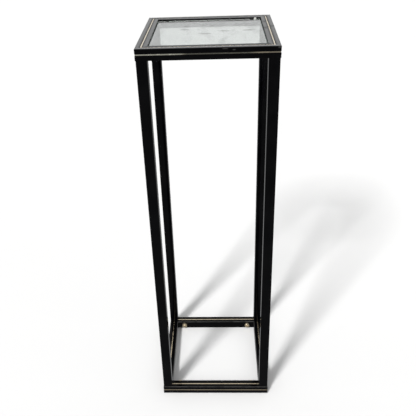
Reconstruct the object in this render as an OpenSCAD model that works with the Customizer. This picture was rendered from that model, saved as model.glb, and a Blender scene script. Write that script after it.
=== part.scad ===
// Tall square glass-topped pedestal, made of lacquered square tube.
// Two mitred square rings of tube, one at the floor and one at the top, are joined by four legs.
// A brass strip lies in a groove along the top face and the outer face of every rail.
// Millimetres, +Z up, front towards -Y. The origin is on the floor, under the middle.

/* [Overall size] */
// Side of the square rings, outside to outside
ring_side = 300; // [260:5:400]
// Height from the floor to the top of the upper ring
total_height = 1000; // [600:10:1200]

/* [Rails] */
// Width and height of the rail tube
rail_size = 25; // [25:0.5:28]
// Wall thickness of the rail tube
rail_wall = 2.5; // [2.5:0.1:3]
// Radius of the rail's long edges
rail_edge_radius = 1; // [1:0.25:2.5]

/* [Legs] */
// Width of the leg tube
leg_size = 24; // [22:0.5:24]
// Wall thickness of the leg tube
leg_wall = 2; // [1.5:0.1:2.5]
// Radius of the leg's long edges
leg_edge_radius = 1.5; // [1:0.25:2.5]
// Distance from the ring's outer faces in to the leg's outer faces
leg_inset = 1; // [0.5:0.25:1.5]

/* [Brass strips] */
// Width of a brass strip
strip_width = 2.5; // [2:0.25:4]
// Thickness of a brass strip
strip_thickness = 1; // [0.6:0.1:1.2]
// Depth of a strip's face below the face of the rail
strip_recess = 0.5; // [0.2:0.1:0.8]
// Gap between a strip and each side of its groove
strip_side_gap = 0.8; // [0.1:0.1:0.8]

/* [Glass] */
// Thickness of the glass plate
glass_thickness = 5; // [4:0.5:6]
// Depth of the glass below the top of the upper ring
glass_recess = 4; // [2:0.5:5]
// Gap between the edge of the glass and the rails
glass_gap = 1; // [0.5:0.25:2]
// Radius of the glass plate's corners, seen from above
glass_corner_radius = 2; // [1:0.5:4]
// Bevel ground on the upper and lower edges of the glass
glass_bevel = 0.6; // [0.3:0.1:1]

/* [Support studs] */
// Width of a stud's hexagonal head across its flats
stud_across_flats = 14; // [12:0.5:15]
// Height of a stud's head, away from the rail
stud_head = 7; // [5:0.5:10]
// Distance of a stud from the ring's inner corner
stud_from_corner = 22; // [20:1:60]
// Diameter of a stud's shank
stud_shank = 6; // [5:0.5:6.5]

/* [Hidden] */

$fn = 48;
cut = 1;                       // how far a cutter runs past the face that it cuts
half_side = ring_side / 2;
rail_centre = half_side - rail_size / 2;          // from the middle out to a rail's centre line
rail_inner = half_side - rail_size;               // from the middle out to a rail's inner face
top_ring_bottom = total_height - rail_size;
leg_centre = half_side - leg_inset - leg_size / 2;
leg_length = top_ring_bottom - rail_size;

groove_width = strip_width + 2 * strip_side_gap;
groove_depth = strip_thickness + strip_recess;

fit_gap = 0.1;                 // between a corner piece and the tube that it plugs into
core_size = rail_size - 2 * rail_wall - 2 * fit_gap;
leg_plug_size = leg_size - 2 * leg_wall - 2 * fit_gap;
leg_plug_reach = 40;           // how far a corner piece goes into a leg
rail_plug_end = rail_inner - 14;                  // where a corner piece ends inside a rail
plug_lead_in = 2;              // length of the thinner tip of a plug
plug_tip_step = 0.8;           // how much thinner that tip is on each side

stud_offset = rail_inner - stud_from_corner;      // from the middle of a rail
stud_shank_depth = 7;          // how far a shank goes in past the rail's inner face
stud_boss_radius = 4;          // radius of the raised boss on a stud's head
stud_boss_height = 0.8;
stud_chamfer = 0.8;            // turned chamfer on the corners of a stud's head
stud_socket_radius = 2.3;      // hexagon socket in the boss
stud_socket_depth = 4;
stud_corner_radius = stud_across_flats / 2 / cos(30);
glass_bottom = total_height - glass_recess - glass_thickness;
glass_stud_height = glass_bottom - stud_across_flats / 2;
shelf_stud_height = rail_size / 2;
hex_flat_up = 0;               // turn that puts a flat of the head uppermost
hex_point_up = 25;             // turn of the one stud that was left almost point up

bumper_width = 5;
bumper_offset = rail_inner - 13;                  // from the middle of the rear rail to the right
bumper_rise = 3;               // how far the bumper stands above the glass

grub_radius = 2.5;
grub_length = 7;
grub_sunk = 0.5;               // depth of a grub screw's end below the rail's face
grub_socket_radius = 1.45;
grub_socket_depth = 3;
grub_offset = rail_inner - 7;                     // from the middle of a rail to its grub screws

// ---- shared shapes ----

// A square with round corners, centred on the origin
module round_square(size, radius) {
    square([size - 2 * radius, size], center = true);
    square([size, size - 2 * radius], center = true);
    for (x = [-1, 1], y = [-1, 1])
        translate([x, y] * (size / 2 - radius)) circle(r = radius);
}

// Cross-section of a square tube
module tube_section(size, wall, radius) {
    difference() {
        round_square(size, radius);
        square(size - 2 * wall, center = true);
    }
}

// Turns a shape that is drawn for the front of a ring to side i: front, right, rear, left
module on_side(i) rotate([0, 0, 90 * i]) children();

// The room of the front rail, with its ends cut at 45 degrees
module mitre_room(height) {
    linear_extrude(height)
        polygon([
            [-half_side, -half_side], [half_side, -half_side],
            [rail_inner, -rail_inner], [-rail_inner, -rail_inner],
        ]);
}

// Square holes that the legs' plugs pass through, at both ends of the front rail
module leg_plug_holes(from_z) {
    hole = leg_plug_size + 2 * fit_gap;
    for (x = [-1, 1])
        translate([x * leg_centre - hole / 2, -leg_centre - hole / 2, from_z])
            cube([hole, hole, cut + rail_wall + fit_gap]);
}

// ---- rails ----

// Round holes in the front rail's inner face for the shanks of two studs
module stud_holes(height) {
    for (x = [-1, 1])
        translate([x * stud_offset, -rail_inner + cut, height])
            rotate([90, 0, 0])
                cylinder(r = stud_shank / 2 + fit_gap, h = rail_wall + 2 * cut);
}

// Holes in the front rail's lower face for its two grub screws
module grub_holes() {
    for (x = [-1, 1])
        translate([x * grub_offset, -rail_centre, -cut])
            cylinder(r = grub_radius + fit_gap / 2, h = rail_wall + 2 * cut);
}

// Front rail of a ring whose lower face is at z = 0
module rail() {
    difference() {
        intersection() {
            translate([-half_side, -rail_centre, rail_size / 2])
                rotate([90, 0, 90])
                    linear_extrude(ring_side)
                        tube_section(rail_size, rail_wall, rail_edge_radius);
            mitre_room(rail_size);
        }
        translate([-half_side, -rail_centre - groove_width / 2, rail_size - groove_depth])
            cube([ring_side, groove_width, groove_depth + cut]);
        translate([-half_side, -half_side - cut, (rail_size - groove_width) / 2])
            cube([ring_side, groove_depth + cut, groove_width]);
        grub_holes();
    }
}

module top_rail(i, has_studs) {
    color([0.02, 0.02, 0.03])
        translate([0, 0, top_ring_bottom])
            on_side(i) difference() {
                rail();
                leg_plug_holes(-cut);
                if (has_studs) stud_holes(glass_stud_height - top_ring_bottom);
            }
}

module base_rail(i, has_studs) {
    color([0.02, 0.02, 0.03])
        on_side(i) difference() {
            rail();
            leg_plug_holes(rail_size - rail_wall - fit_gap);
            if (has_studs) stud_holes(shelf_stud_height);
        }
}

// ---- legs ----

// Leg at the front left corner, turned to corner i
module leg(i) {
    color([0.02, 0.02, 0.03])
        on_side(i)
            translate([-leg_centre, -leg_centre, rail_size])
                linear_extrude(leg_length)
                    tube_section(leg_size, leg_wall, leg_edge_radius);
}

// ---- corner pieces ----

// Square plug along +X from x = 0, with a thinner tip
module plug(size, length) {
    tip = size - 2 * plug_tip_step;
    translate([0, -size / 2, -size / 2]) cube([length - plug_lead_in, size, size]);
    translate([0, -tip / 2, -tip / 2]) cube([length, tip, tip]);
}

// Corner piece of the front left corner of a ring whose lower face is at z = 0. Its leg plug points up.
// Its screw holes go right through, so that it fits either way up.
module corner_piece() {
    rail_plug_length = rail_centre - rail_plug_end;
    core_top = (rail_size + core_size) / 2;
    difference() {
        union() {
            translate([-rail_centre, -rail_centre, rail_size / 2]) {
                cube(core_size, center = true);
                plug(core_size, rail_plug_length);
                rotate([0, 0, 90]) plug(core_size, rail_plug_length);
            }
            translate([-leg_centre, -leg_centre, core_top])
                rotate([0, -90, 0]) plug(leg_plug_size, rail_size + leg_plug_reach - core_top);
        }
        for (place = [[-grub_offset, -rail_centre], [-rail_centre, -grub_offset]])
            translate([place.x, place.y, 0])
                cylinder(r = grub_radius + fit_gap / 2, h = rail_size);
    }
}

module base_corner(i) {
    color([0.6, 0.6, 0.62]) on_side(i) corner_piece();
}

// The same piece turned over about the diagonal of its corner, so that its leg plug points down
module top_corner(i) {
    color([0.6, 0.6, 0.62])
        translate([0, 0, total_height - rail_size / 2])
            on_side(i) rotate([0, 0, 45]) rotate([180, 0, 0]) rotate([0, 0, -45])
                translate([0, 0, -rail_size / 2]) corner_piece();
}

// ---- brass strips ----

// Strip in the top face of a ring's front rail, between x = -reach and x = reach
module face_strip(i, ring_bottom, reach) {
    color([0.72, 0.58, 0.34])
        translate([0, 0, ring_bottom])
            on_side(i) intersection() {
                translate([-reach, -rail_centre - strip_width / 2, rail_size - groove_depth])
                    cube([2 * reach, strip_width, strip_thickness]);
                mitre_room(rail_size);
            }
}

// Strip in the outer face of a ring's front rail
module side_strip(i, ring_bottom) {
    color([0.72, 0.58, 0.34])
        translate([0, 0, ring_bottom])
            on_side(i) intersection() {
                translate([-half_side, -half_side + strip_recess, (rail_size - strip_width) / 2])
                    cube([ring_side, strip_thickness, strip_width]);
                mitre_room(rail_size);
            }
}

module top_face_strip(i) face_strip(i, top_ring_bottom, half_side);

// The lower strips stop where the legs' plugs come through the rail
module base_face_strip(i) face_strip(i, 0, leg_centre - leg_plug_size / 2 - fit_gap);

module top_side_strip(i) side_strip(i, top_ring_bottom);

module base_side_strip(i) side_strip(i, 0);

// ---- glass ----

// Square slab whose left and right edges are bevelled above and below
module bevelled_bar(width, thickness, bevel) {
    half = width / 2;
    translate([0, half, 0]) rotate([90, 0, 0]) linear_extrude(width)
        polygon([
            [-half + bevel, 0], [half - bevel, 0], [half, bevel], [half, thickness - bevel],
            [half - bevel, thickness], [-half + bevel, thickness], [-half, thickness - bevel],
            [-half, bevel],
        ]);
}

module glass_plate() {
    plate = 2 * (rail_inner - glass_gap);
    color([0.75, 0.88, 0.82, 0.35])
        translate([0, 0, glass_bottom])
            intersection() {
                linear_extrude(glass_thickness) round_square(plate, glass_corner_radius);
                bevelled_bar(plate, glass_thickness, glass_bevel);
                rotate([0, 0, 90]) bevelled_bar(plate, glass_thickness, glass_bevel);
            }
}

// Clear pad that stops the plate from rattling against the rear rail
module glass_bumper() {
    color([0.9, 0.9, 0.88])
        translate([bumper_offset - bumper_width / 2, rail_inner - glass_gap, glass_bottom])
            cube([bumper_width, glass_gap, glass_thickness + bumper_rise]);
}

// ---- support studs ----

// Stud whose head points along +Z from z = 0, its shank below
module stud() {
    intersection() {
        cylinder(r = stud_corner_radius, h = stud_head - stud_boss_height, $fn = 6);
        rotate_extrude()
            polygon([
                [0, 0], [stud_corner_radius, 0],
                [stud_corner_radius, stud_head - stud_boss_height - stud_chamfer],
                [stud_corner_radius - stud_chamfer, stud_head - stud_boss_height],
                [0, stud_head - stud_boss_height],
            ]);
    }
    cylinder(r = stud_boss_radius, h = stud_head);
    translate([0, 0, -stud_shank_depth])
        cylinder(r = stud_shank / 2, h = stud_shank_depth + cut);
}

module stud_with_socket() {
    difference() {
        stud();
        translate([0, 0, stud_head - stud_socket_depth])
            cylinder(r = stud_socket_radius, h = stud_socket_depth + cut, $fn = 6);
    }
}

// Stud on the inner face of the front (side 0) or rear (side 2) rail; along is its place on that rail
module rail_stud(i, along, height, turn) {
    color([0.7, 0.58, 0.36])
        on_side(i) translate([along * stud_offset, -rail_inner, height])
            rotate([-90, 0, 0]) rotate([0, 0, turn]) stud_with_socket();
}

// ---- grub screws ----

// The two grub screws of the front rail of a ring whose lower face is at z = 0
module rail_grub_screws() {
    for (x = [-1, 1])
        translate([x * grub_offset, -rail_centre, grub_sunk])
            difference() {
                cylinder(r = grub_radius, h = grub_length);
                translate([0, 0, -cut])
                    cylinder(r = grub_socket_radius, h = grub_socket_depth + cut, $fn = 6);
            }
}

module ring_grub_screws(ring_bottom) {
    color([0.35, 0.35, 0.36])
        translate([0, 0, ring_bottom])
            for (i = [0:3]) on_side(i) rail_grub_screws();
}

// ---- the nodes ----

top_rail(0, true);  // top_rail_front
top_rail(1, false);  // top_rail_right
top_rail(2, true);  // top_rail_rear
top_rail(3, false);  // top_rail_left
base_rail(0, true);  // base_rail_front
base_rail(1, false);  // base_rail_right
base_rail(2, true);  // base_rail_rear
base_rail(3, false);  // base_rail_left
leg(0);  // leg_front_left
leg(1);  // leg_front_right
leg(2);  // leg_rear_right
leg(3);  // leg_rear_left
top_corner(0);  // top_corner_front_left
top_corner(1);  // top_corner_front_right
top_corner(2);  // top_corner_rear_right
top_corner(3);  // top_corner_rear_left
base_corner(0);  // base_corner_front_left
base_corner(1);  // base_corner_front_right
base_corner(2);  // base_corner_rear_right
base_corner(3);  // base_corner_rear_left
top_face_strip(0);  // top_face_strip_front
top_face_strip(1);  // top_face_strip_right
top_face_strip(2);  // top_face_strip_rear
top_face_strip(3);  // top_face_strip_left
top_side_strip(0);  // top_side_strip_front
top_side_strip(1);  // top_side_strip_right
top_side_strip(2);  // top_side_strip_rear
top_side_strip(3);  // top_side_strip_left
base_face_strip(0);  // base_face_strip_front
base_face_strip(1);  // base_face_strip_right
base_face_strip(2);  // base_face_strip_rear
base_face_strip(3);  // base_face_strip_left
base_side_strip(0);  // base_side_strip_front
base_side_strip(1);  // base_side_strip_right
base_side_strip(2);  // base_side_strip_rear
base_side_strip(3);  // base_side_strip_left
glass_plate();
glass_bumper();
rail_stud(0, -1, glass_stud_height, hex_flat_up);  // glass_stud_front_left
rail_stud(0, 1, glass_stud_height, hex_flat_up);  // glass_stud_front_right
rail_stud(2, -1, glass_stud_height, hex_flat_up);  // glass_stud_rear_right
rail_stud(2, 1, glass_stud_height, hex_flat_up);  // glass_stud_rear_left
rail_stud(0, -1, shelf_stud_height, hex_flat_up);  // shelf_stud_front_left
rail_stud(0, 1, shelf_stud_height, hex_flat_up);  // shelf_stud_front_right
rail_stud(2, -1, shelf_stud_height, hex_flat_up);  // shelf_stud_rear_right
rail_stud(2, 1, shelf_stud_height, hex_point_up);  // shelf_stud_rear_left
ring_grub_screws(top_ring_bottom);  // top_grub_screws
ring_grub_screws(0);  // base_grub_screws
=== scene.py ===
"""Tall square pedestal table: black lacquered square tube with brass inlay lines and an inset glass top."""

import math

import bmesh
import bpy
from mathutils import Matrix, Vector


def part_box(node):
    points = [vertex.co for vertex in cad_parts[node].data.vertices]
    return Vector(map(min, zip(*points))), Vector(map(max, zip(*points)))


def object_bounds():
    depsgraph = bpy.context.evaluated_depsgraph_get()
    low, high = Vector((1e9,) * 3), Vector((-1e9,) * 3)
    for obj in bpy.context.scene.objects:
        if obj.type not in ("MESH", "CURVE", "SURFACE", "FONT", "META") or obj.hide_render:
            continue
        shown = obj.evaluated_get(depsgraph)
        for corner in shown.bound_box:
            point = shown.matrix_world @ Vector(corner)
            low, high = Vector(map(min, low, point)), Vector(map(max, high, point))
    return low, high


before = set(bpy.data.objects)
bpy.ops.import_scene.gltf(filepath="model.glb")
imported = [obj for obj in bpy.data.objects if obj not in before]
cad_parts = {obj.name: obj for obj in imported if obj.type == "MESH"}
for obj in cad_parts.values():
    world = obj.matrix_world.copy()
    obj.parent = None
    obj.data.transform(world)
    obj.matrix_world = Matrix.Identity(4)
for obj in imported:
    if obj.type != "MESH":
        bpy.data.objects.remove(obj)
cad_low, cad_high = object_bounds()

MM = 0.001
SIDES = ("front", "right", "rear", "left")
CORNERS = ("front_left", "front_right", "rear_right", "rear_left")
scene = bpy.context.scene


# ---- node helpers ----


class Tree:
    """A material's node tree, with short calls for the nodes that are used here."""

    def __init__(self, name):
        self.material = bpy.data.materials.new(name)
        self.material.use_nodes = True
        self.nodes = self.material.node_tree.nodes
        self.links = self.material.node_tree.links
        self.nodes.clear()
        self.output = self.nodes.new("ShaderNodeOutputMaterial")
        self.position = None

    def put(self, socket, value):
        """A socket takes either another node's output or a plain value."""
        if isinstance(value, bpy.types.NodeSocket):
            self.links.new(value, socket)
        else:
            socket.default_value = value

    def where(self):
        """Position in the frame, in metres. All nodes sit at the origin, so it is the object coordinate."""
        if self.position is None:
            self.position = self.nodes.new("ShaderNodeTexCoord").outputs["Object"]
        return self.position

    def axis(self, letter):
        split = self.nodes.new("ShaderNodeSeparateXYZ")
        self.put(split.inputs[0], self.where())
        return split.outputs[letter]

    def maths(self, operation, first, second=0.0):
        node = self.nodes.new("ShaderNodeMath")
        node.operation = operation
        self.put(node.inputs[0], first)
        self.put(node.inputs[1], second)
        return node.outputs[0]

    def scaled(self, factors):
        node = self.nodes.new("ShaderNodeMapping")
        self.put(node.inputs["Vector"], self.where())
        node.inputs["Scale"].default_value = factors
        return node.outputs[0]

    def noise(self, scale, detail=2.0, roughness=0.5, vector=None, distortion=0.0):
        node = self.nodes.new("ShaderNodeTexNoise")
        self.put(node.inputs["Vector"], self.where() if vector is None else vector)
        node.inputs["Scale"].default_value = scale
        node.inputs["Detail"].default_value = detail
        node.inputs["Roughness"].default_value = roughness
        node.inputs["Distortion"].default_value = distortion
        return node.outputs["Fac"]

    def spread(self, value, low, high, to_low=0.0, to_high=1.0):
        """Maps low..high to to_low..to_high, clamped, with soft ends."""
        node = self.nodes.new("ShaderNodeMapRange")
        node.interpolation_type = "SMOOTHSTEP"
        self.put(node.inputs["Value"], value)
        for name, number in zip(("From Min", "From Max", "To Min", "To Max"), (low, high, to_low, to_high)):
            node.inputs[name].default_value = number
        return node.outputs["Result"]

    def mix(self, factor, first, second):
        node = self.nodes.new("ShaderNodeMix")
        node.data_type = "RGBA"
        self.put(node.inputs[0], factor)
        # inputs 6 and 7 and output 2 are a mix node's colours
        for socket, colour in ((node.inputs[6], first), (node.inputs[7], second)):
            self.put(socket, (*colour, 1.0) if isinstance(colour, tuple) else colour)
        return node.outputs[2]

    def spots(self, places, softness, ragged):
        """1 inside the listed ellipsoids, 0 outside. A place is its centre and its half sizes, in metres."""
        wobble = self.maths("MULTIPLY", self.maths("SUBTRACT", self.noise(ragged, 3.0, 0.6), 0.5), 1.6)
        total = None
        for centre, halves in places:
            shift = self.nodes.new("ShaderNodeVectorMath")
            shift.operation = "SUBTRACT"
            self.put(shift.inputs[0], self.where())
            shift.inputs[1].default_value = centre
            shrink = self.nodes.new("ShaderNodeVectorMath")
            shrink.operation = "DIVIDE"
            self.put(shrink.inputs[0], shift.outputs[0])
            shrink.inputs[1].default_value = halves
            length = self.nodes.new("ShaderNodeVectorMath")
            length.operation = "LENGTH"
            self.put(length.inputs[0], shrink.outputs[0])
            away = self.maths("ADD", length.outputs["Value"], wobble)
            spot = self.spread(away, 1.0 + softness, 1.0 - softness)
            total = spot if total is None else self.maths("MAXIMUM", total, spot)
        return total

    def bump(self, height, distance, below=None):
        """A normal, from a height that counts for distance metres at 1, on top of the normal below."""
        node = self.nodes.new("ShaderNodeBump")
        node.inputs["Strength"].default_value = 1.0
        node.inputs["Distance"].default_value = distance
        self.put(node.inputs["Height"], height)
        if below is not None:
            self.put(node.inputs["Normal"], below)
        return node.outputs[0]

    def surface(self, **sockets):
        """Finishes the material with a Principled shader: an underscore in a name stands for a space."""
        shader = self.nodes.new("ShaderNodeBsdfPrincipled")
        for name, value in sockets.items():
            socket = shader.inputs[name.replace("_", " ")]
            self.put(socket, (*value, 1.0) if isinstance(value, tuple) and len(value) == 3 else value)
        self.links.new(shader.outputs[0], self.output.inputs["Surface"])
        return self.material


# ---- materials ----

GROOVE_HALF = 2.2 * MM  # half the width of the grooves that hold the strips
SHALLOW = 0.2 * MM  # how far below a face the groove's painted shade begins
SHADE_BAND_NEAR, SHADE_BAND_FAR = 4.0 * MM, 5.8 * MM  # the band of painted shade beside a strip ends between these distances
ARRIS = 1.3 * MM  # width of the painted highlight along the upper arrises
SCUFFS = (  # pale rubbed marks on the front of the upper ring and on the lower ring's front arris
    ((0.036, -0.150, 0.9970), (0.0055, 0.002, 0.0011)),
    ((0.054, -0.150, 0.9945), (0.0028, 0.002, 0.0012)),
    ((0.146, -0.150, 0.9975), (0.0030, 0.002, 0.0020)),
    ((0.090, -0.150, 0.0235), (0.0040, 0.002, 0.0012)),
)
GREASE = (  # dull finger marks on top of the upper ring
    ((0.129, 0.011, 1.0), (0.006, 0.012, 0.002)),
    ((0.144, 0.026, 1.0), (0.007, 0.010, 0.002)),
    ((0.130, 0.075, 1.0), (0.004, 0.012, 0.002)),
)

BLACK_DEEP, BLACK_HAZY = (0.0004, 0.0004, 0.0006), (0.0011, 0.0011, 0.0013)
DUST = (0.030, 0.029, 0.027)
# pale colour of the painted highlight along the upper arrises
PAINTED_EDGE_HIGHLIGHT = (0.052, 0.051, 0.049)
SCUFFED = (0.018, 0.018, 0.017)
LACQUER_IOR = 1.22  # low, so that the faces that turn away from the bright band stay black
FULL_GLOSS = 0.5  # the shader's normal specular level

ring_middle = (cad_low + cad_high) / 2


def black_lacquer(name, across, centre, crown, half=None, painted_shade_bands=0.0):
    """Sprayed gloss lacquer on a tube. The tube's centre line runs along the axis that isn't in across and
    passes through centre, counted from the middle of the table. Its faces rise towards their middle by crown
    times the square of the distance. Where half is given, half the tube's width, the specular level is cut
    inside the grooves and, by the share painted_shade_bands, beside them: painted shade for the dark gaps
    along the strips. Along the upper arrises it is painted pale in patches, a painted highlight, and it is
    marked by use."""
    tree = Tree(name)
    offsets = []
    for letter, distance in zip(across, centre):
        offset = tree.maths("SUBTRACT", tree.axis(letter), ring_middle["XYZ".index(letter)])
        offset = tree.maths("SUBTRACT", tree.maths("ABSOLUTE", offset), distance)
        offsets.append(tree.maths("ABSOLUTE", offset))
    squares = [tree.maths("MULTIPLY", offset, offset) for offset in offsets]
    curved = tree.bump(tree.maths("MULTIPLY", tree.maths("ADD", *squares), -crown), 1.0)
    peel = tree.bump(tree.noise(260.0, 2.0, 0.5), 0.000012, curved)
    grain = tree.bump(tree.noise(900.0, 2.0, 0.6), 0.0000045, peel)
    dust = tree.spread(tree.noise(1400.0, 3.0, 0.75), 0.63, 0.74)
    cloud = tree.noise(14.0, 4.0, 0.6)
    film = tree.mix(tree.spread(cloud, 0.35, 0.7), BLACK_DEEP, BLACK_HAZY)
    film = tree.mix(tree.maths("MULTIPLY", dust, 0.2), film, DUST)
    rough = tree.spread(cloud, 0.3, 0.75, 0.055, 0.12)
    rough = tree.maths("ADD", rough, tree.maths("MULTIPLY", dust, 0.12))
    gloss = FULL_GLOSS
    if half:
        # painted shade: the specular level is cut and the roughness raised inside the grooves, and on the
        # side rails also in bands beside them, for the dark gaps along the strips
        narrow = [tree.maths("LESS_THAN", offset, GROOVE_HALF) for offset in offsets]
        sunk = [tree.maths("LESS_THAN", offset, half - SHALLOW) for offset in reversed(offsets)]
        groove = tree.maths("MAXIMUM", *[tree.maths("MULTIPLY", *pair) for pair in zip(narrow, sunk)])
        beside = tree.maths("MAXIMUM", *[tree.spread(offset, SHADE_BAND_FAR, SHADE_BAND_NEAR) for offset in offsets])
        dull = tree.maths("MAXIMUM", groove, tree.maths("MULTIPLY", beside, painted_shade_bands))
        gloss = tree.maths("MULTIPLY", tree.maths("SUBTRACT", 1.0, dull), FULL_GLOSS)
        rough = tree.maths("MAXIMUM", rough, tree.maths("MULTIPLY", groove, 0.8))

        # painted highlight: the upward-facing parts of the arrises are painted pale, in patches, more on the
        # lower ring than on the upper
        facing = tree.nodes.new("ShaderNodeSeparateXYZ")
        tree.put(facing.inputs[0], tree.nodes.new("ShaderNodeNewGeometry").outputs["Normal"])
        upward = tree.spread(facing.outputs["Z"], 0.05, 0.35)
        rims = [tree.spread(offset, half - ARRIS, half - ARRIS / 2) for offset in offsets]
        patchy = tree.spread(tree.noise(70.0, 3.0, 0.6), 0.3, 0.6, 0.35, 1.0)
        highlight_strength = tree.maths("MULTIPLY", patchy, tree.spread(tree.axis("Z"), 0.1, 0.9, 1.0, 0.3))
        highlight_mask = tree.maths("MULTIPLY", tree.maths("MULTIPLY", tree.maths("MULTIPLY", *rims), upward), highlight_strength)
        film = tree.mix(highlight_mask, film, PAINTED_EDGE_HIGHLIGHT)

        scuffs = tree.spots(SCUFFS, 0.4, 700.0)
        film = tree.mix(scuffs, film, SCUFFED)
        grease = tree.maths("MULTIPLY", tree.spots(GREASE, 0.5, 220.0), 0.26)
        marked = tree.maths("MAXIMUM", grease, tree.maths("MULTIPLY", scuffs, 0.2))
        rough = tree.maths("ADD", rough, marked)
    return tree.surface(
        Base_Color=film,
        Roughness=rough,
        IOR=LACQUER_IOR,
        Specular_IOR_Level=gloss,
        Normal=grain,
    )


BRASS_CLEAN, BRASS_TARNISHED = (0.86, 0.74, 0.545), (0.74, 0.615, 0.43)
BRASS_DARK = (0.50, 0.42, 0.30)
BRASS_SPOT = (0.30, 0.22, 0.12)
BRASS_PALE, BRASS_DULL = (0.90, 0.88, 0.74), (0.26, 0.25, 0.21)


def brass_strip(name, along, tone=1.0, dull=False):
    """Satin brass strip, drawn along one axis, with a little tarnish and darkened by tone. A dull one is pale
    up to just left of its middle and dark from there, and recovers a little towards its right end."""
    tree = Tree(name)
    stretch = [1.0, 1.0, 1.0]
    stretch["XYZ".index(along)] = 0.02
    lines = tree.noise(5200.0, 2.0, 0.6, vector=tree.scaled(stretch))
    tarnish = tree.spread(tree.noise(60.0, 4.0, 0.65), 0.42, 0.72)
    broad = tree.spread(tree.noise(11.0, 2.0, 0.5), 0.36, 0.64)
    spots = tree.spread(tree.noise(420.0, 2.0, 0.5), 0.62, 0.72)
    clean, tarnished = [tuple(tone * part for part in tint) for tint in (BRASS_CLEAN, BRASS_TARNISHED)]
    metal_colour = tree.mix(tarnish, clean, tarnished)
    metal_colour = tree.mix(tree.maths("MULTIPLY", broad, 0.45), metal_colour, BRASS_DARK)
    if dull:
        start = tree.spread(tree.axis("X"), -0.057, -0.043)
        end = tree.spread(tree.axis("X"), 0.078, 0.105, 1.0, 0.45)
        metal_colour = tree.mix(start, BRASS_PALE, metal_colour)
        metal_colour = tree.mix(tree.maths("MULTIPLY", start, end), metal_colour, BRASS_DULL)
    return tree.surface(
        Base_Color=tree.mix(tree.maths("MULTIPLY", spots, 0.25), metal_colour, BRASS_SPOT),
        Metallic=1.0,
        Roughness=tree.spread(tarnish, 0.0, 1.0, 0.24, 0.38),
        Normal=tree.bump(lines, 0.000012),
    )


def brass_stud():
    """Turned brass, duller than the strips, with tarnish in patches."""
    tree = Tree("turned_brass")
    tarnish = tree.spread(tree.noise(300.0, 4.0, 0.6), 0.35, 0.7)
    bright = tree.mix(tarnish, (0.80, 0.70, 0.53), (0.52, 0.43, 0.29))
    return tree.surface(
        Base_Color=bright,
        Metallic=1.0,
        Roughness=tree.spread(tarnish, 0.0, 1.0, 0.38, 0.55),
        Normal=tree.bump(tree.noise(2200.0, 3.0, 0.6), 0.00002),
    )


SMUDGES = (  # greasy marks on top of the glass
    ((-0.053, 0.061, 0.996), (0.007, 0.010, 0.002)),
    ((-0.055, 0.028, 0.996), (0.010, 0.008, 0.002)),
    ((0.036, 0.007, 0.996), (0.014, 0.005, 0.002)),
    ((0.090, 0.010, 0.996), (0.012, 0.006, 0.002)),
    ((-0.010, -0.015, 0.996), (0.016, 0.004, 0.002)),
)
GLASS_STRAIGHT, GLASS_SLANTING = (0.87, 0.91, 0.885), (0.14, 0.152, 0.144)
GLASS_SMUDGED = (0.03, 0.03, 0.03)
GLASS_DUSTY = (0.80, 0.80, 0.78)
GLASS_EDGE = (0.42, 0.66, 0.55)


def clear_glass():
    """Clear float glass with a faint green tint and a greener ground edge. Its body colour darkens when it is
    seen at a slant, in wiped streaks. It has a few smudges, and dust has gathered along its rear edge."""
    low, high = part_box("glass_plate")
    half = (high.x - low.x) / 2
    tree = Tree("clear_glass")
    marks = tree.spots(SMUDGES, 0.5, 150.0)
    wipes = tree.noise(26.0, 4.0, 0.6, vector=tree.scaled((1.0, 0.35, 1.0)), distortion=0.6)
    streaks = tree.spread(wipes, 0.40, 0.75)
    reach = tree.maths("MAXIMUM", *[tree.maths("ABSOLUTE", tree.axis(letter)) for letter in "XY"])
    edge = tree.spread(reach, half - 0.9 * MM, half - 0.2 * MM)
    slant = tree.nodes.new("ShaderNodeLayerWeight")
    slant.inputs["Blend"].default_value = 0.5
    slanting = tree.spread(slant.outputs["Facing"], 0.3, 0.8)
    # the body colour darkens towards GLASS_SLANTING at a slant, in wiped streaks
    film = tree.maths("MULTIPLY", slanting, tree.spread(streaks, 0.0, 1.0, 0.82, 1.0))
    gathered = tree.spread(tree.axis("Y"), 0.100, 0.112)
    dusty = tree.maths("MULTIPLY", gathered, tree.spread(streaks, 0.0, 1.0, 0.75, 1.0))
    body = tree.mix(film, GLASS_STRAIGHT, GLASS_SLANTING)
    body = tree.mix(tree.maths("MULTIPLY", marks, film), body, GLASS_SMUDGED)
    body = tree.mix(dusty, body, GLASS_DUSTY)
    hazed = tree.spread(streaks, 0.0, 1.0, 0.0, 0.02)
    return tree.surface(
        Base_Color=tree.mix(edge, body, GLASS_EDGE),
        Roughness=tree.maths("ADD", hazed, tree.maths("MULTIPLY", marks, 0.05)),
        IOR=1.5,
        Specular_IOR_Level=tree.spread(marks, 0.0, 1.0, 0.5, 0.36),
        Transmission_Weight=0.95,
    )


def silicone():
    """Clouded clear silicone, for the bumper."""
    tree = Tree("clear_silicone")
    cloud = tree.noise(900.0, 2.0, 0.5)
    return tree.surface(
        Base_Color=tree.mix(cloud, (0.66, 0.66, 0.63), (0.52, 0.52, 0.49)),
        Roughness=tree.spread(cloud, 0.3, 0.7, 0.22, 0.38),
        IOR=1.41,
        Transmission_Weight=0.35,
        Normal=tree.bump(cloud, 0.00003),
    )


def cast_metal():
    """Bare cast aluminium, for the corner pieces inside the tubes."""
    tree = Tree("cast_metal")
    cloud = tree.noise(380.0, 5.0, 0.65)
    return tree.surface(
        Base_Color=tree.mix(cloud, (0.55, 0.55, 0.56), (0.36, 0.36, 0.37)),
        Metallic=1.0,
        Roughness=tree.spread(cloud, 0.3, 0.7, 0.42, 0.6),
        Normal=tree.bump(tree.noise(2600.0, 3.0, 0.6), 0.00006),
    )


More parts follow.
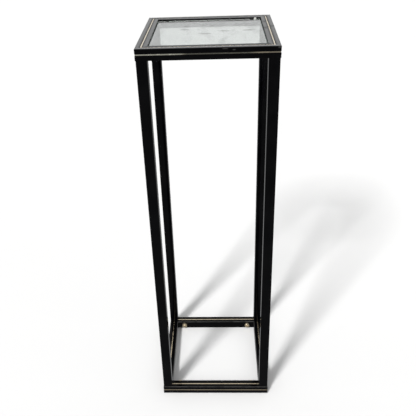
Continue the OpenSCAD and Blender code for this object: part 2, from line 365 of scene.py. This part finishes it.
def dark_zinc():
    """Dark zinc plating, for the grub screws."""
    tree = Tree("dark_zinc")
    cloud = tree.noise(1600.0, 3.0, 0.6)
    return tree.surface(
        Base_Color=tree.mix(cloud, (0.30, 0.30, 0.31), (0.17, 0.17, 0.18)),
        Metallic=1.0,
        Roughness=tree.spread(cloud, 0.3, 0.7, 0.32, 0.5),
        Normal=tree.bump(cloud, 0.00001),
    )


# ---- the CAD nodes ----


def dress(node, material, bevel=0.0):
    """Gives a CAD node its material and, where bevel is a width in millimetres, eased edges."""
    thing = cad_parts[node]
    thing.data.materials.clear()
    thing.data.materials.append(material)
    if bevel:
        ease = thing.modifiers.new("eased_edges", "BEVEL")
        ease.width = bevel * MM
        ease.segments = 2
        ease.limit_method = "ANGLE"
        ease.angle_limit = math.radians(40)
        ease.harden_normals = False


def centre_of(node):
    low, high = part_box(node)
    return (low + high) / 2


rail_half = (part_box("top_rail_front")[1].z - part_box("top_rail_front")[0].z) / 2
rail_out = abs(centre_of("top_rail_front").y)
rail_up = centre_of("top_rail_front").z - ring_middle.z
leg_out = abs(centre_of("leg_front_left").x)

# the side rails get bands of painted shade beside their strips
side_lacquer = black_lacquer("black_lacquer_sides", "XZ", (rail_out, rail_up), 2.0, rail_half, painted_shade_bands=0.7)
rail_lacquer = {
    "front": black_lacquer("black_lacquer_front", "YZ", (rail_out, rail_up), 4.4, rail_half),
    "rear": black_lacquer("black_lacquer_rear", "YZ", (rail_out, rail_up), 0.8, rail_half),
    "left": side_lacquer,
    "right": side_lacquer,
}
leg_lacquer = black_lacquer("black_lacquer_legs", "XY", (leg_out, leg_out), 2.0)
strip_along = {"X": brass_strip("brass_strip_x", "X"), "Y": brass_strip("brass_strip_y", "Y")}
axis_of = {"front": "X", "rear": "X", "left": "Y", "right": "Y"}
# the upper ring's left and right top strips are a copy at half tone, darker than the other strips
half_tone_strip = brass_strip("brass_strip_half_tone", "Y", tone=0.5)
special_strips = {
    "top_side_strip_front": brass_strip("brass_strip_dull", "X", dull=True),
    "top_face_strip_left": half_tone_strip,
    "top_face_strip_right": half_tone_strip,
}

for ring in ("top", "base"):
    for side in SIDES:
        dress(f"{ring}_rail_{side}", rail_lacquer[side], bevel=0.25)
        for face in ("face", "side"):
            strip = f"{ring}_{face}_strip_{side}"
            dress(strip, special_strips.get(strip, strip_along[axis_of[side]]), bevel=0.15)

metal, studs, zinc = cast_metal(), brass_stud(), dark_zinc()
for corner in CORNERS:
    dress(f"leg_{corner}", leg_lacquer, bevel=0.2)
    for ring in ("top", "base"):
        dress(f"{ring}_corner_{corner}", metal, bevel=0.3)
    dress(f"shelf_stud_{corner}", studs, bevel=0.2)
    dress(f"glass_stud_{corner}", leg_lacquer, bevel=0.2)
for ring in ("top", "base"):
    dress(f"{ring}_grub_screws", zinc, bevel=0.1)
dress("glass_bumper", silicone(), bevel=0.15)
dress("glass_plate", clear_glass())
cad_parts["glass_plate"].visible_shadow = False

# ---- stage ----


def floor():
    """A large round pale floor. Gloss doesn't pick it up, so the black lacquer stays black."""
    shape = bmesh.new()
    bmesh.ops.create_circle(shape, cap_ends=True, radius=40.0, segments=96)
    mesh = bpy.data.meshes.new("floor")
    shape.to_mesh(mesh)
    shape.free()
    thing = bpy.data.objects.new("floor", mesh)
    scene.collection.objects.link(thing)
    tree = Tree("pale_floor")
    cloud = tree.noise(0.8, 3.0, 0.5)
    mesh.materials.append(
        tree.surface(
            Base_Color=tree.mix(cloud, (0.508, 0.505, 0.503), (0.498, 0.495, 0.493)),
            Roughness=0.9,
            Specular_IOR_Level=0.0,
        )
    )
    thing.visible_glossy = False


SKY = (  # elevation in degrees and brightness of the studio's surround
    (-90, 0.32), (-48, 0.31), (-15, 0.23), (-2, 0.20), (3, 0.26), (6, 0.38),
    (9, 0.64), (11, 1.07), (13, 1.12), (15, 1.32), (18, 2.00), (22, 2.35),
    (28, 1.45), (34, 0.82), (40, 0.58), (48, 0.70), (60, 0.7), (90, 0.7),
)
PALE = 1.0  # what the camera sees past the floor's edge


def surround():
    """A soft surround: a bright band above the horizon all round, dimmer overhead and dark below. It lights
    the table and shows in its gloss. The camera itself sees plain PALE, also through the glass."""
    world = bpy.data.worlds.new("studio")
    scene.world = world
    world.use_nodes = True
    nodes, links = world.node_tree.nodes, world.node_tree.links
    nodes.clear()
    direction = nodes.new("ShaderNodeTexCoord").outputs["Generated"]
    split = nodes.new("ShaderNodeSeparateXYZ")
    links.new(direction, split.inputs[0])
    height = nodes.new("ShaderNodeMapRange")
    links.new(split.outputs["Z"], height.inputs["Value"])
    height.inputs["From Min"].default_value = -1.0
    height.inputs["From Max"].default_value = 1.0
    curve = nodes.new("ShaderNodeFloatCurve")
    links.new(height.outputs["Result"], curve.inputs["Value"])
    line = curve.mapping.curves[0]
    top = max(value for _, value in SKY)
    places = [((math.sin(math.radians(angle)) + 1) / 2, value / top) for angle, value in SKY]
    line.points[0].location, line.points[1].location = places[0], places[-1]
    for place in places[1:-1]:
        line.points.new(*place)
    for point in line.points:
        point.handle_type = "AUTO_CLAMPED"
    curve.mapping.update()
    gain = nodes.new("ShaderNodeMath")
    gain.operation = "MULTIPLY"
    links.new(curve.outputs[0], gain.inputs[0])
    gain.inputs[1].default_value = top
    soft = nodes.new("ShaderNodeBackground")
    links.new(gain.outputs[0], soft.inputs["Strength"])
    soft.inputs["Color"].default_value = (0.985, 0.995, 1.0, 1.0)
    plain = nodes.new("ShaderNodeBackground")
    plain.inputs["Color"].default_value = (PALE, PALE, PALE, 1.0)
    rays = nodes.new("ShaderNodeLightPath")
    seen = nodes.new("ShaderNodeMath")
    seen.operation = "MAXIMUM"
    links.new(rays.outputs["Is Camera Ray"], seen.inputs[0])
    links.new(rays.outputs["Is Transmission Ray"], seen.inputs[1])
    choice = nodes.new("ShaderNodeMixShader")
    links.new(seen.outputs[0], choice.inputs[0])
    links.new(soft.outputs[0], choice.inputs[1])
    links.new(plain.outputs[0], choice.inputs[2])
    output = nodes.new("ShaderNodeOutputWorld")
    links.new(choice.outputs[0], output.inputs["Surface"])


def key_light():
    """A soft key from the front left, which throws the long shadow."""
    lamp = bpy.data.lights.new("key", "SUN")
    lamp.energy = 5.0
    lamp.angle = math.radians(10.0)
    thing = bpy.data.objects.new("key", lamp)
    scene.collection.objects.link(thing)
    thing.rotation_euler = Vector((-0.54, -0.93, 1.0)).to_track_quat("Z", "Y").to_euler()


FOCAL_SHARE = 1.35447  # focal length over the sensor's width
SHIFT_X, SHIFT_Y = 0.022115, -0.014423
CAMERA_PLACE = (0.0256, -1.2942, 1.2958)
PITCH, YAW, ROLL = 0.5200, 0.0474, 0.0362  # down, to the left and clockwise, in radians


def camera():
    """The photograph's viewing angle."""
    lens = bpy.data.cameras.new("camera")
    lens.sensor_width = 36.0
    lens.lens = lens.sensor_width * FOCAL_SHARE
    lens.shift_x, lens.shift_y = SHIFT_X, SHIFT_Y
    lens.clip_start, lens.clip_end = 0.05, 200.0
    thing = bpy.data.objects.new("camera", lens)
    scene.collection.objects.link(thing)
    thing.matrix_world = (
        Matrix.Translation(CAMERA_PLACE)
        @ Matrix.Rotation(YAW, 4, "Z")
        @ Matrix.Rotation(math.pi / 2 - PITCH, 4, "X")
        @ Matrix.Rotation(-ROLL, 4, "Z")
    )
    scene.camera = thing


floor()
surround()
key_light()
camera()
scene.view_settings.view_transform = "Standard"
scene.view_settings.look = "None"
